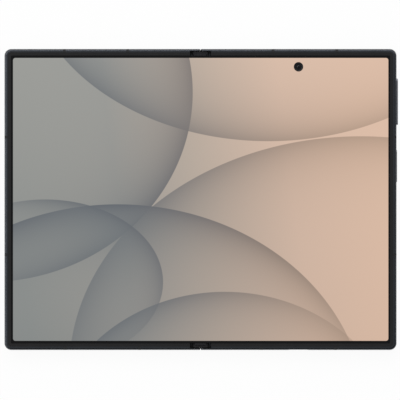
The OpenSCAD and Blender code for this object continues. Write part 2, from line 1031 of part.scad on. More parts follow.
module display_fold() {
  color(glass_black)
    block([-hinge_wall_x, hinge_wall_x], [3 - half_height, half_height - 3],
          [display_bottom, display_top]);
}

// Outline of a timing gear with one tooth at the given angle
module gear_outline(phase) {
  polygon([for (i = [0 : gear_teeth - 1]) each tooth(phase + 360 / gear_teeth * i)]);
}

// Synchronising arms of the main half: gear, bar and sliding pin
module sync_arms(phase) {
  reach = 0.68;
  width = lane - 0.2;
  for (y = end_units) {
    along_y([y - width / 2, y + width / 2])
      difference() {
        union() {
          translate([gear_x, gear_z]) {
            gear_outline(phase);
            polygon([[0, -0.3], [0.9, 0.1], [1.1, 0.35], [1.1, 0.6], [reach, 0.6],
                     [0.45, 0.5], [0, 0.5]]);
          }
          translate([gear_x + reach, arm_bottom])
            square([arm_pin_x - gear_x - reach, arm_top - arm_bottom]);
          translate([arm_pin_x, arm_pin_z])
            circle(0.45);
        }
        translate([gear_x, gear_z])
          circle(shaft_radius + shaft_play);
      }
    translate([arm_pin_x, y, arm_pin_z])
      rotate([90, 0, 0])
        cylinder(h = lane + 2 * rib - 0.2, r = arm_pin_radius, center = true);
  }
}

module idlers(x, phase) {
  width = lane - 0.2;
  for (y = end_units)
    along_y([y - width / 2, y + width / 2])
      translate([x, gear_z])
        difference() {
          gear_outline(phase);
          circle(shaft_radius + shaft_play);
        }
}

module main_arms() {
  color(gold)
    sync_arms(180 / gear_teeth);
}

module cover_arms() {
  color(gold)
    other_side()
      sync_arms(0);
}

module cover_idlers() {
  color(steel)
    idlers(-idler_x, 180 / gear_teeth);
}

module main_idlers() {
  color(steel)
    idlers(idler_x, 0);
}

module cover_frame() {
  color(metal)
    mirror([1, 0, 0])
      difference() {
        half_frame(cover_antennas_top, cover_antennas_bottom);
        rim_slots(earpiece_x, earpiece_slots, [half_height - 2.5, half_height + 1]);
      }
}

module cover_bezel() {
  mirror([1, 0, 0])
    half_bezel();
}

module cover_glass() {
  color(glass_black)
    mirror([1, 0, 0])
      half_layer(cover_inset + 0.05, hinge_wall_x + 0.35, [0, cover_top - seat_gap]);
}

module cover_display_panel() {
  color([0.05, 0.06, 0.09])
    difference() {
      mirror([1, 0, 0])
        half_layer(ledge_inset + 0.1, hinge_wall_x + 1.3, [cover_top, pack_bottom - 0.02]);
      round_bar(cover_camera_at[0], cover_camera_at[1], [0, 2], 2);
    }
}

module cover_camera() {
  color(dark_plastic) {
    round_bar(cover_camera_at[0], cover_camera_at[1], [cover_top + 0.02, 1.6], 1.7);
    slab([cover_camera_at[0] - 3, cover_camera_at[0] + 3],
         [cover_camera_at[1] - 3, cover_camera_at[1] + 3], [1.5, 3.1], 0.4);
  }
}

module earpiece() {
  color(dark_plastic)
    slab([-54, -45.4], [54.5, 59.5], [1.0, 3.0], 0.6);
}

module cover_battery() {
  color([0.16, 0.16, 0.18]) {
    slab([-72, -12.5], [-38, 30], [pack_bottom + 0.05, pack_top], 1.6);
    slab([-70, -15], [30 - seat_gap, 32.5], [1.6, 2.4], 0.5);
  }
}

module sub_board() {
  color(board_green) {
    slab([-36, -12.5], [34, 59.5], [1.5, 2.1], 1);
    slab([-30, -18], [38, 55], [2.1, 2.8], 0.6);
  }
}

module vibration_motor() {
  color(steel)
    slab([-40, -18], [-55, -45], [pack_bottom + 0.2, pack_top - 0.1], 0.8);
}

module cover_antenna_lines() {
  mirror([1, 0, 0])
    antenna_lines(cover_antennas_top, cover_antennas_bottom);
}

module display_cover() {
  color(glass_black)
    mirror([1, 0, 0])
      half_display();
}

module cover_support_plate() {
  color(steel)
    mirror([1, 0, 0])
      half_support_plate();
}

module cover_brackets() {
  color(steel)
    other_side()
      all_brackets();
}

module cover_screws() {
  color(steel)
    other_side()
      bracket_screws();
}

module cover_magnets() {
  color(steel)
    mirror([1, 0, 0])
      half_magnets();
}

translate([0, 0, back_lift]) main_frame();
translate([0, 0, back_lift]) main_bezel();
translate([0, 0, back_lift]) rear_cover();
translate([0, 0, back_lift]) camera_island();
translate([0, 0, back_lift]) camera_rings();
translate([0, 0, back_lift]) camera_lenses();
translate([0, 0, back_lift]) camera_modules();
translate([0, 0, back_lift]) flash_lens();
translate([0, 0, back_lift]) main_board();
translate([0, 0, back_lift]) shield_cans();
translate([0, 0, back_lift]) main_battery();
translate([0, 0, back_lift]) usb_c_socket();
translate([0, 0, back_lift]) loudspeaker();
translate([0, 0, back_lift]) sim_reader();
translate([0, 0, back_lift]) key_switches();
translate([0, 0, back_lift]) inner_camera();
translate([0, 0, back_lift]) charging_coil();
translate([0, 0, back_lift]) main_antenna_lines();
translate([0, 0, back_lift]) display_main();
translate([0, 0, back_lift]) main_support_plate();
translate([0, 0, back_lift]) main_brackets();
translate([0, 0, back_lift]) main_screws();
translate([0, 0, back_lift]) main_magnets();
translate([0, 0, back_lift]) volume_key();
translate([0, 0, back_lift]) power_key();
translate([0, 0, back_lift]) sim_tray();
translate([0, 0, back_lift]) spine_cover();
translate([0, 0, back_lift]) hinge_bases();
translate([0, 0, back_lift]) hinge_end_caps();
translate([0, 0, back_lift]) hinge_shafts();
translate([0, 0, back_lift]) hinge_screws();
translate([0, 0, back_lift]) fold_support();
translate([0, 0, back_lift]) hinge_flex();
translate([0, 0, back_lift]) display_fold();
translate([0, 0, back_lift]) cover_arms();
translate([0, 0, back_lift]) main_arms();
translate([0, 0, back_lift]) cover_idlers();
translate([0, 0, back_lift]) main_idlers();
translate([0, 0, back_lift]) cover_frame();
translate([0, 0, back_lift]) cover_bezel();
translate([0, 0, back_lift]) cover_glass();
translate([0, 0, back_lift]) cover_display_panel();
translate([0, 0, back_lift]) cover_camera();
translate([0, 0, back_lift]) earpiece();
translate([0, 0, back_lift]) cover_battery();
translate([0, 0, back_lift]) sub_board();
translate([0, 0, back_lift]) vibration_motor();
translate([0, 0, back_lift]) cover_antenna_lines();
translate([0, 0, back_lift]) display_cover();
translate([0, 0, back_lift]) cover_support_plate();
translate([0, 0, back_lift]) cover_brackets();
translate([0, 0, back_lift]) cover_screws();
translate([0, 0, back_lift]) cover_magnets();
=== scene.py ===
# %% [markdown]
# # A folding phone, open on a white table
#
# This lesson dresses a finished model of a folding phone. The model comes from CAD with every
# piece at its real size, already sorted into bodies that move. We don't change those pieces. We
# give each one a finish, and we rebuild in mesh code the few that CAD can only rough out: the
# bending display, the camera glasses, the flexible circuit and the small contacts.
#
# We start by loading the frame. All lengths are metres, and one millimetre is a handy unit here.

# %% Load the frame
import math

import bmesh
import bpy
from mathutils import Matrix, Vector


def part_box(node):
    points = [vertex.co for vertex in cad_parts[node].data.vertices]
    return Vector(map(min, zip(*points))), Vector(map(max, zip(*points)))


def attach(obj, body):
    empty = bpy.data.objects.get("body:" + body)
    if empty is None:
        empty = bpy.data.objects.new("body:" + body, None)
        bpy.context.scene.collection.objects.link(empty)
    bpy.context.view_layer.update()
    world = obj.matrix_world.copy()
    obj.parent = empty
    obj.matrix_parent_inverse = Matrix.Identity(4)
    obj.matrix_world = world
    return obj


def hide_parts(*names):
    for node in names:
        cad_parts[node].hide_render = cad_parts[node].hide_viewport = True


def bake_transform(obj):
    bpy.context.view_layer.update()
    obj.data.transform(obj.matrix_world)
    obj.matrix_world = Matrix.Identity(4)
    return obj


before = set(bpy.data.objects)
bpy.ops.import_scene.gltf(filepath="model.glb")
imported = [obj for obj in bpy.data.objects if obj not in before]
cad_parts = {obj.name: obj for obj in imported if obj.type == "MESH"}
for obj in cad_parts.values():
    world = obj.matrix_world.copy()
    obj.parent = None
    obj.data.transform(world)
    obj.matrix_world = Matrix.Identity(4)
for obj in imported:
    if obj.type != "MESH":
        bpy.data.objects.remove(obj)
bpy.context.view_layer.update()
MM = 0.001

# %% [markdown]
# ## Measures taken from the frame
#
# A piece made here has to sit exactly on what carries it, so its place is read from the frame
# and never typed in twice.

# %% Read the main measures
def centre_of(node):
    low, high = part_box(node)
    return (low + high) / 2


frame_low, frame_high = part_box("main_frame")
display_low, display_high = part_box("display_main")
fold_low, fold_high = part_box("display_fold")

face_z = frame_high.z
display_z = display_high.z
display_thickness = display_high.z - display_low.z
half_width = frame_high.x
half_height = frame_high.y
print(f"face at {face_z / MM:.2f} mm, display at {display_z / MM:.2f} mm")

# %% [markdown]
# ## The camera
#
# The phone is shown square from the front, with no visible perspective. A long lens far away
# does that, and a perspective camera keeps working when the views from other sides are made.
# The width of the picture at the height of the display settles the focal length.

# %% Camera
PICTURE_WIDTH = 164.6 * MM
CENTRE = Vector((-0.21 * MM, -0.21 * MM, face_z))
DISTANCE = 5.0
camera_data = bpy.data.cameras.new("camera")
camera_data.sensor_width = 36
camera_data.lens = camera_data.sensor_width * DISTANCE / PICTURE_WIDTH
camera_data.clip_start = 0.1
camera_data.clip_end = 20
camera = bpy.data.objects.new("camera", camera_data)
camera.location = CENTRE + Vector((0, 0, DISTANCE))
bpy.context.scene.collection.objects.link(camera)
bpy.context.scene.camera = camera
print(f"lens of {camera_data.lens:.0f} mm at {DISTANCE} m")

# %% [markdown]
# ## Shader maths as plain expressions
#
# Node trees are powerful, but a page of `links.new` calls hides the idea. So one small class
# wraps a socket and lets us write `1 - mask` or `x * 2 + y`. Each operator adds a Math node.
# Everything else comes from one method, `node`, which takes the node's type, its settings and
# the values or links of its sockets.

# %% A socket that can be used in sums
class Wire:
    """An output socket of a finish's node tree, with the usual arithmetic."""

    def __init__(self, finish, socket):
        self.finish = finish
        self.socket = socket

    def math(self, operation, *others):
        values = dict(enumerate([self, *others]))
        return self.finish.node("ShaderNodeMath", {"operation": operation}, values)

    def __add__(self, other):
        return self.math("ADD", other)

    def __sub__(self, other):
        return self.math("SUBTRACT", other)

    def __rsub__(self, other):
        return self.finish.node("ShaderNodeMath", {"operation": "SUBTRACT"}, {0: other, 1: self})

    def __mul__(self, other):
        return self.math("MULTIPLY", other)

    def __truediv__(self, other):
        return self.math("DIVIDE", other)

    __radd__ = __add__
    __rmul__ = __mul__

    def sin(self):
        return self.math("SINE")

    def abs(self):
        return self.math("ABSOLUTE")

    def floor_at(self, low):
        return self.math("MAXIMUM", low)

    def ceiling_at(self, high):
        return self.math("MINIMUM", high)

    def power(self, exponent):
        return self.math("POWER", exponent)

    def step(self, low, high):
        """0 below low, 1 above high, and smooth between them."""
        settings = {"interpolation_type": "SMOOTHSTEP"}
        return self.finish.node("ShaderNodeMapRange", settings,
                                {"Value": self, "From Min": low, "From Max": high})


# %% A finish is one material and its nodes
class Finish:
    """A material whose nodes are made by name, with its Principled shader ready."""

    def __init__(self, name):
        self.material = bpy.data.materials.new(name)
        self.material.use_nodes = True
        self.tree = self.material.node_tree
        self.shader = self.tree.nodes["Principled BSDF"]

    def node(self, kind, settings=None, inputs=None, output=0):
        made = self.tree.nodes.new(kind)
        for name, value in (settings or {}).items():
            if name == "stops":
                self.set_stops(made.color_ramp, value)
            else:
                setattr(made, name, value)
        for name, value in (inputs or {}).items():
            self.feed(made.inputs[name], value)
        return Wire(self, made.outputs[output])

    def set_stops(self, ramp, stops):
        while len(ramp.elements) < len(stops):
            ramp.elements.new(0.5)
        for element, (position, colour) in zip(ramp.elements, stops):
            element.position = position
            element.color = colour

    def feed(self, socket, value):
        if isinstance(value, Wire):
            self.tree.links.new(value.socket, socket)
        else:
            socket.default_value = value

    def set(self, **values):
        """Values or wires for the shader's sockets; an underscore stands for a space."""
        for name, value in values.items():
            self.feed(self.shader.inputs[name.replace("_", " ")], value)
        return self

    def place(self):
        """The point's own x, y and z in millimetres, which stay with the piece as it moves."""
        point = self.node("ShaderNodeTexCoord", output="Object")
        parts = {"Vector": point}
        return [self.node("ShaderNodeSeparateXYZ", None, parts, axis) * (1 / MM)
                for axis in ("X", "Y", "Z")]

    def distance(self, x, y, centre_x, centre_y, flat=1.0):
        """Distance in millimetres from a centre. With flat under 1 it belongs to a wide ellipse."""
        across = (x - centre_x) * flat
        up = y - centre_y
        return (across * across + up * up).power(0.5)

    def nearest(self, x, y, centres):
        """Distance in millimetres to the nearest of some centres, given in metres."""
        away = [self.distance(x, y, centre.x / MM, centre.y / MM) for centre in centres]
        least = away[0]
        for other in away[1:]:
            least = least.ceiling_at(other)
        return least

    def noise(self, size, detail=2.0, roughness=0.5, stretch=(1, 1, 1)):
        """Soft noise whose blobs are about size millimetres across, from 0 to 1."""
        point = self.node("ShaderNodeTexCoord", output="Object")
        scaled = self.node("ShaderNodeVectorMath", {"operation": "MULTIPLY"},
                           {0: point, 1: stretch})
        return self.node("ShaderNodeTexNoise", None,
                         {"Vector": scaled, "Scale": 1 / (size * MM), "Detail": detail,
                          "Roughness": roughness}, "Fac")

    def mix(self, factor, first, second):
        """A colour that goes from first to second as factor goes from 0 to 1."""
        return self.node("ShaderNodeMix", {"data_type": "RGBA"},
                         {0: factor, 6: first, 7: second}, 2)

    def bump(self, height, depth, strength=1.0):
        """Height from 0 to 1, standing up to depth millimetres, as a normal."""
        return self.node("ShaderNodeBump", None,
                         {"Height": height, "Distance": depth * MM, "Strength": strength})


def tone(red, green, blue):
    """A screen colour, 0 to 255, as the linear colour that shaders use."""
    def linear(value):
        share = value / 255
        return share / 12.92 if share <= 0.04045 else ((share + 0.055) / 1.055) ** 2.4
    return (linear(red), linear(green), linear(blue), 1.0)


def shade(colour, by):
    """The same colour, lighter or darker by a factor."""
    return tuple(min(1.0, part * by) for part in colour[:3]) + (1.0,)


print("maths for finishes is ready")

# %% [markdown]
# ## The metal of the body
#
# The rim, the spine, the keys and the tray door are aluminium, blasted with fine beads and then
# anodised a dark slate. Two things make that read as metal: a roughness that wanders a little,
# and a grain far below a millimetre, which breaks the reflection up. The dye is never quite
# even either, so a wide soft noise moves the colour by a few per cent.

# %% Anodised metal
def anodised_metal(name, colour, roughness=0.4, grain=0.09):
    finish = Finish(name)
    fine = finish.noise(grain, detail=3.0, roughness=0.6)
    cloud = finish.noise(9.0, detail=2.0)
    wear = finish.noise(1.6, detail=5.0, roughness=0.65).step(0.62, 0.74)
    body = finish.mix(cloud, shade(colour, 0.9), shade(colour, 1.1))
    finish.set(Base_Color=finish.mix(wear * 0.12, body, shade(colour, 1.7)), Metallic=1.0,
               Roughness=fine * 0.12 + (roughness - 0.06),
               Normal=finish.bump(fine, 0.002, 0.3))
    return finish.material


slate_metal = anodised_metal("slate_metal", tone(70, 73, 78))
# The keys get a lighter copy of the slate metal: painted light, for the shine that the proud keys
# catch.
key_metal_painted_light = anodised_metal("key_metal_painted_light", tone(138, 142, 150), roughness=0.36)
print("made", slate_metal.name, "and", key_metal_painted_light.name)

# %% Turned metal of the lens rings
RINGS_LOW, RINGS_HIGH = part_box("camera_rings")
RING_RADIUS = (RINGS_HIGH.x - RINGS_LOW.x) / 2
RING_CENTRES = [Vector((RINGS_LOW.x + RING_RADIUS, y, RINGS_LOW.z))
                for y in (RINGS_LOW.y + RING_RADIUS, RINGS_HIGH.y - RING_RADIUS)]
TOOL_MARKS = 70.0


def turned_metal(name, colour):
    """Fine circles round each ring's own centre, as a lathe tool leaves them."""
    finish = Finish(name)
    x, y, _ = finish.place()
    lines = (finish.nearest(x, y, RING_CENTRES) * TOOL_MARKS).sin() * 0.5 + 0.5
    grain = finish.noise(0.2, detail=3.0)
    finish.set(Base_Color=finish.mix(grain, shade(colour, 0.85), shade(colour, 1.1)),
               Metallic=1.0, Roughness=grain * 0.1 + 0.2,
               Normal=finish.bump(lines, 0.003, 0.5))
    return finish.material


ring_metal = turned_metal("ring_metal", tone(112, 115, 120))
print("lens rings at", [[round(v / MM, 2) for v in c] for c in RING_CENTRES])

# %% [markdown]
# ## Machined and sheet steel
#
# The hinge's brackets, bases and gears are small steel parts with a fine machined lay, and the
# plates under the display are rolled. Stretching a noise along one axis gives that lay.

# %% Steels
def worked_steel(name, colour, lay=(1, 0.06, 1), roughness=0.28):
    finish = Finish(name)
    lines = finish.noise(0.08, detail=4.0, roughness=0.7, stretch=lay)
    stain = finish.noise(3.0, detail=3.0)
    finish.set(Base_Color=finish.mix(stain, shade(colour, 0.86), colour), Metallic=1.0,
               Roughness=lines * 0.22 + (roughness - 0.1), Normal=finish.bump(lines, 0.003, 0.5))
    return finish.material


bracket_steel = worked_steel("bracket_steel", tone(168, 169, 173))
gear_steel = worked_steel("gear_steel", tone(188, 186, 180), lay=(1, 0.1, 1), roughness=0.22)
plate_steel = worked_steel("plate_steel", tone(150, 151, 154), lay=(0.05, 1, 1), roughness=0.36)
print("made three steels")

# %% [markdown]
# ## Plastics
#
# The trim round the display, the antenna lines and the end caps of the hinge are black
# polymer. Matt moulded plastic has a fine spark texture, so the bump here is a sharp noise.
# Reflections stay weak, or the trim would look grey beside the display.

# %% Moulded plastics
def moulded_plastic(name, colour, roughness=0.55, shine=0.2, texture=0.16):
    finish = Finish(name)
    spark = finish.noise(texture, detail=2.0, roughness=0.4)
    cloud = finish.noise(6.0)
    finish.set(Base_Color=finish.mix(cloud, shade(colour, 0.88), shade(colour, 1.12)),
               Roughness=spark * 0.16 + (roughness - 0.08), Specular_IOR_Level=shine,
               Normal=finish.bump(spark, 0.008, 0.4))
    return finish.material


trim_black = moulded_plastic("trim_black", tone(31, 31, 32), roughness=0.5, shine=0.18)
line_black = moulded_plastic("line_black", tone(38, 39, 41), roughness=0.6, shine=0.2)
cap_black = moulded_plastic("cap_black", tone(31, 31, 34), roughness=0.45, shine=0.2)
module_black = moulded_plastic("module_black", tone(30, 31, 33), roughness=0.6)
print("made four plastics")

# %% [markdown]
# ## Glass that hides what is behind it
#
# The rear cover is glass, etched on the outside and dyed behind, so it is a soft satin with a
# faint sparkle. The outer display's glass is polished, and is dark when it is off. Both are
# opaque in practice, so a smooth surface over a dark base does the work of real refraction.

# %% Etched and polished glass
def etched_glass(name, colour):
    finish = Finish(name)
    etch = finish.noise(0.05, detail=2.0, roughness=0.7)
    cloud = finish.noise(30.0, detail=1.0)
    finish.set(Base_Color=finish.mix(cloud, shade(colour, 0.94), shade(colour, 1.06)),
               Metallic=0.35, Roughness=etch * 0.1 + 0.36, Specular_IOR_Level=0.4,
               Normal=finish.bump(etch, 0.002, 0.3))
    return finish.material


def polished_glass(name, colour, ripple=0.5):
    finish = Finish(name)
    swell = finish.noise(24.0, detail=1.0)
    smear = finish.noise(7.0, detail=4.0, roughness=0.6).step(0.5, 0.8)
    finish.set(Base_Color=finish.mix(swell, shade(colour, 0.9), shade(colour, 1.1)),
               Roughness=smear * 0.05 + 0.04, Specular_IOR_Level=0.5,
               Normal=finish.bump(swell, 0.01, ripple))
    return finish.material


# %% Glass of the outer display
PANEL_MARGIN = 1.6
PANEL_EDGE = 4.0


def outer_display_glass(name):
    """Nearly black, with the panel's field and the small camera just to be seen through it, and a
    painted highlight on the edge of the camera's barrel.
    """
    finish = Finish(name)
    x, y, _ = finish.place()
    panel_low, panel_high = [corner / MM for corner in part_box("cover_display_panel")]
    field = ((x - (panel_low.x + PANEL_MARGIN)) * PANEL_EDGE).floor_at(0.0).ceiling_at(1.0)
    for edge in (panel_high.x - PANEL_MARGIN - x, y - (panel_low.y + PANEL_MARGIN),
                 panel_high.y - PANEL_MARGIN - y):
        field = field * (edge * PANEL_EDGE).floor_at(0.0).ceiling_at(1.0)
    camera = centre_of("cover_camera") / MM
    away = finish.distance(x, y, camera.x, camera.y)
    ring = away.step(2.0, 1.9)
    # barrel: a thin lighter ring, a painted highlight on the edge of the camera's barrel
    barrel = away.step(1.62, 1.56) * away.step(1.36, 1.42)
    lens = away.step(1.05, 0.9)
    smear = finish.noise(7.0, detail=4.0, roughness=0.6).step(0.5, 0.8)
    dark = finish.mix(field, tone(8, 8, 9), tone(30, 32, 37))
    ringed = finish.mix(ring, dark, tone(4, 4, 5))
    with_barrel_highlight = finish.mix(barrel, ringed, tone(58, 60, 65))
    finish.set(Base_Color=finish.mix(lens, with_barrel_highlight, tone(34, 41, 66)),
               Roughness=smear * 0.05 + 0.04, Specular_IOR_Level=0.32)
    return finish.material


rear_glass = etched_glass("rear_glass", tone(78, 81, 86))
outer_glass = outer_display_glass("outer_glass")
panel_glass = polished_glass("panel_glass", tone(12, 13, 15))
print("made three glasses")

# %% [markdown]
# ## Inside the body
#
# Boards, batteries, copper and flexible film are out of sight until the phone is opened on a
# bench, but they are pieces of the model too. A board is solder mask over traces, and a brick
# pattern turned into thin lines makes a good network of tracks. A battery is a foil pouch with
# slight dents.

# %% Finishes of the inner pieces
def circuit_board(name, colour):
    finish = Finish(name)
    point = finish.node("ShaderNodeTexCoord", output="Object")
    tracks = finish.node("ShaderNodeTexBrick", {"offset": 0.35},
                         {"Vector": point, "Scale": 420.0, "Mortar Size": 0.035}, "Fac")
    pads = finish.node("ShaderNodeTexVoronoi", {"feature": "F1"},
                       {"Vector": point, "Scale": 900.0}, "Distance").step(0.22, 0.16)
    masked = finish.mix(tracks, colour, shade(colour, 1.9))
    finish.set(Base_Color=finish.mix(pads * 0.7, masked, tone(196, 168, 96)),
               Metallic=pads * 0.7, Roughness=0.5 - pads * 0.2,
               Normal=finish.bump(tracks + pads, 0.03, 0.5))
    return finish.material


def foil_pouch(name, colour):
    finish = Finish(name)
    dents = finish.noise(5.0, detail=3.0)
    weave = finish.noise(0.3, detail=1.0)
    finish.set(Base_Color=finish.mix(dents, shade(colour, 0.8), shade(colour, 1.2)),
               Metallic=0.3, Roughness=weave * 0.15 + 0.38,
               Normal=finish.bump(dents, 0.15, 0.35))
    return finish.material


def bare_metal(name, colour):
    finish = Finish(name)
    scuff = finish.noise(0.4, detail=4.0)
    finish.set(Base_Color=finish.mix(scuff, shade(colour, 0.8), colour), Metallic=1.0,
               Roughness=scuff * 0.25 + 0.2, Normal=finish.bump(scuff, 0.005, 0.4))
    return finish.material


def amber_film(name, colour):
    """Copper tracks under amber film. The ribbon bends, so its place comes from a UV map."""
    finish = Finish(name)
    uv = finish.node("ShaderNodeUVMap", {"uv_map": "open_place"}, None, "UV")
    along = finish.node("ShaderNodeSeparateXYZ", None, {"Vector": uv}, "Y")
    lines = (along * 9.0).sin().step(-0.2, 0.2)
    finish.set(Base_Color=finish.mix(lines, colour, shade(colour, 0.62)),
               Roughness=lines * 0.1 + 0.3, Normal=finish.bump(lines, 0.01, 0.5))
    return finish.material


board_green = circuit_board("board_green", tone(24, 74, 54))
battery_foil = foil_pouch("battery_foil", tone(58, 59, 63))
copper = bare_metal("copper", tone(198, 128, 86))
gold_plate = bare_metal("gold_plate", tone(214, 176, 96))
nickel_plate = bare_metal("nickel_plate", tone(186, 186, 184))
flex_film = amber_film("flex_film", tone(176, 104, 30))
print("made the inner finishes")

# %% [markdown]
# ## Giving the CAD pieces their finishes
#
# A CAD piece keeps its shape, and only its material slots change. The importer leaves every
# face flat, so curved faces are set smooth and edges over 30 degrees are kept sharp.

# %% Which piece gets which finish
DRESS = [
    (slate_metal, ["main_frame", "cover_frame", "sim_tray", "spine_cover", "camera_island"]),
    (key_metal_painted_light, ["volume_key", "power_key"]),
    (ring_metal, ["camera_rings"]),
    (trim_black, ["main_bezel", "cover_bezel"]),
    (line_black, ["main_antenna_lines", "cover_antenna_lines"]),
    (cap_black, ["hinge_end_caps"]),
    (module_black, ["camera_modules", "loudspeaker", "earpiece", "cover_camera"]),
    (rear_glass, ["rear_cover"]),
    (outer_glass, ["cover_glass"]),
    (panel_glass, ["cover_display_panel"]),
    (bracket_steel, ["main_brackets", "cover_brackets", "hinge_bases"]),
    (gear_steel, ["cover_arms", "main_arms", "cover_idlers", "main_idlers", "hinge_shafts"]),
    (plate_steel, ["main_support_plate", "cover_support_plate", "fold_support", "shield_cans",
                   "sim_reader", "usb_c_socket", "vibration_motor"]),
    (nickel_plate, ["main_screws", "cover_screws", "hinge_screws", "main_magnets",
                    "cover_magnets"]),
    (board_green, ["main_board", "sub_board"]),
    (battery_foil, ["main_battery", "cover_battery"]),
    (copper, ["charging_coil"]),
    (gold_plate, ["key_switches"]),
]
SHARP_ABOVE = math.radians(30)


def dress(node, material):
    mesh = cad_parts[node].data
    mesh.materials.clear()
    mesh.materials.append(material)
    mesh.polygons.foreach_set("use_smooth", [True] * len(mesh.polygons))
    mesh.set_sharp_from_angle(angle=SHARP_ABOVE)


for material, nodes in DRESS:
    for node in nodes:
        dress(node, material)
undressed = set(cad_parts) - {node for material, nodes in DRESS for node in nodes}
print("pieces to rebuild in mesh code:", sorted(undressed))

# %% Broken edges
BROKEN_EDGES = {"rear_cover": 0.1, "cover_glass": 0.1, "hinge_end_caps": 0.1,
                "main_bezel": 0.06, "cover_bezel": 0.06, "spine_cover": 0.06,
                "camera_island": 0.05, "usb_c_socket": 0.04}


def break_edges(node, width):
    """No real edge is perfectly sharp, and a narrow bevel gives it a line of light."""
    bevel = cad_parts[node].modifiers.new("broken_edges", "BEVEL")
    bevel.width = width * MM
    bevel.segments = 2
    bevel.limit_method = "ANGLE"
    bevel.angle_limit = math.radians(50)
    bevel.harden_normals = True


for node, width in BROKEN_EDGES.items():
    break_edges(node, width)
print("edges broken on", len(BROKEN_EDGES), "pieces")

# %% [markdown]
# ## A helper that draws plates with holes
#
# Many pieces are a flat outline with some thickness: the display, a lens, a mesh behind a
# grille. `plates` takes closed loops of points, fills the space between them on top and below,
# and joins the two with walls. Round pieces come from `turned`, which spins an outline.

# %% Outlines
def circle(x, y, radius, count=48):
    """Points of a circle, anticlockwise."""
    turns = [2 * math.pi * i / count for i in range(count)]
    return [(x + radius * math.cos(a), y + radius * math.sin(a)) for a in turns]


def rounded_corner(x, y, radius, start, count=8):
    """Points of a quarter circle about x, y, from an angle given in quarter turns."""
    angles = [math.pi / 2 * (start + i / count) for i in range(count + 1)]
    return [(x + radius * math.cos(a), y + radius * math.sin(a)) for a in angles]


def rounded_box(x, y, radius, count=6):
    """Points of a rectangle between two pairs of limits, with round corners."""
    corners = [(x[1] - radius, y[0] + radius, 3), (x[1] - radius, y[1] - radius, 0),
               (x[0] + radius, y[1] - radius, 1), (x[0] + radius, y[0] + radius, 2)]
    points = []
    for corner_x, corner_y, start in corners:
        points += rounded_corner(corner_x, corner_y, radius, start, count)
    return points


# %% From outline to piece
def new_piece(name, maker, material, body, smooth=True):
    """Turns a bmesh into a piece that rides on a CAD body."""
    mesh = bpy.data.meshes.new(name)
    maker.to_mesh(mesh)
    maker.free()
    if smooth:
        mesh.polygons.foreach_set("use_smooth", [True] * len(mesh.polygons))
        mesh.set_sharp_from_angle(angle=SHARP_ABOVE)
    mesh.materials.append(material)
    piece = bpy.data.objects.new(name, mesh)
    bpy.context.scene.collection.objects.link(piece)
    if body:
        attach(piece, body)
    return piece


def fill_loops(maker, loops, z):
    """Faces between an outline and its holes, all at one height. Returns the loops' corners."""
    rows, edges = [], []
    for loop in loops:
        row = [maker.verts.new((x, y, z)) for x, y in loop]
        edges += [maker.edges.new((row[i - 1], row[i])) for i in range(len(row))]
        rows.append(row)
    bmesh.ops.triangle_fill(maker, use_beauty=True, use_dissolve=False, edges=edges)
    return rows


def plates(name, shapes, z, material, body, turn=None):
    """Flat plates between two heights. Each shape is a list of loops: outline, then holes."""
    maker = bmesh.new()
    for loops in shapes:
        lower, upper = [fill_loops(maker, loops, height) for height in z]
        for low_row, high_row in zip(lower, upper):
            for i in range(len(low_row)):
                maker.faces.new((low_row[i - 1], low_row[i], high_row[i], high_row[i - 1]))
    bmesh.ops.recalc_face_normals(maker, faces=maker.faces)
    if turn:
        bmesh.ops.transform(maker, matrix=turn, verts=maker.verts)
    return new_piece(name, maker, material, body)


def turned(name, outline, centres, inward, material, body, count=64):
    """A piece of revolution about lines along Z. The outline is (radius, depth) in millimetres."""
    maker = bmesh.new()
    for centre in centres:
        rings = []
        for radius, depth in outline:
            z = centre.z + inward * depth * MM
            points = circle(centre.x, centre.y, radius * MM, count) if radius else [centre.xy]
            rings.append([maker.verts.new((point[0], point[1], z)) for point in points])
        for first, second in zip(rings, rings[1:]):
            for i in range(count):
                j = (i + 1) % count
                corners = [first[i % len(first)], first[j % len(first)],
                           second[j % len(second)], second[i % len(second)]]
                maker.faces.new(list(dict.fromkeys(corners)))
    bmesh.ops.remove_doubles(maker, verts=maker.verts, dist=1e-8)
    bmesh.ops.recalc_face_normals(maker, faces=maker.faces)
    return new_piece(name, maker, material, body)


print("helpers for meshes are ready")

# %% [markdown]
# ## The picture on the display
#
# The display is lit, so its colours come from emission at a strength of 1, over a nearly black
# base. The picture is ours: broad soft petals that overlap, in greys and peach that suit the
# metal. Each petal is an ellipse with a crisp rim. A close dark shadow and a wide faint one
# fade from the rim towards its middle, and both are strongest on the side that faces away from
# the light, so a petal looks like a sheet of thin cloth lying over the next. The coordinates
# come from a UV map that stores the place on the open display, so the picture stays put when
# the display bends.

# %% Colours and size of the picture
LIT_LEFT, LIT_RIGHT = -77.16, 77.3
LIT_BOTTOM, LIT_TOP = -58.16, 58.25
LIT_CORNER = 1.0
DUSK, EARTH = tone(82, 87, 98), tone(132, 116, 103)
MIST, SAND = tone(122, 127, 129), tone(186, 158, 137)

# Centre, radius, flatness, side of the strongest shadow, reach and strength of the shadow
PETALS = [((66, -70), 96, 0.8, (-0.55, 0.83), 22, 0.62),
          ((-88, 44), 78, 0.92, (0.92, -0.4), 19, 0.85),
          ((28, 98), 74, 0.74, (-0.35, -0.94), 18, 0.62),
          ((10, -104), 66, 0.9, (-0.4, 0.92), 15, 0.75),
          ((-34, -90), 88, 0.86, (0.1, 0.99), 17, 0.95),
          ((-64, -34), 34, 0.7, (0.75, 0.66), 12, 0.8)]


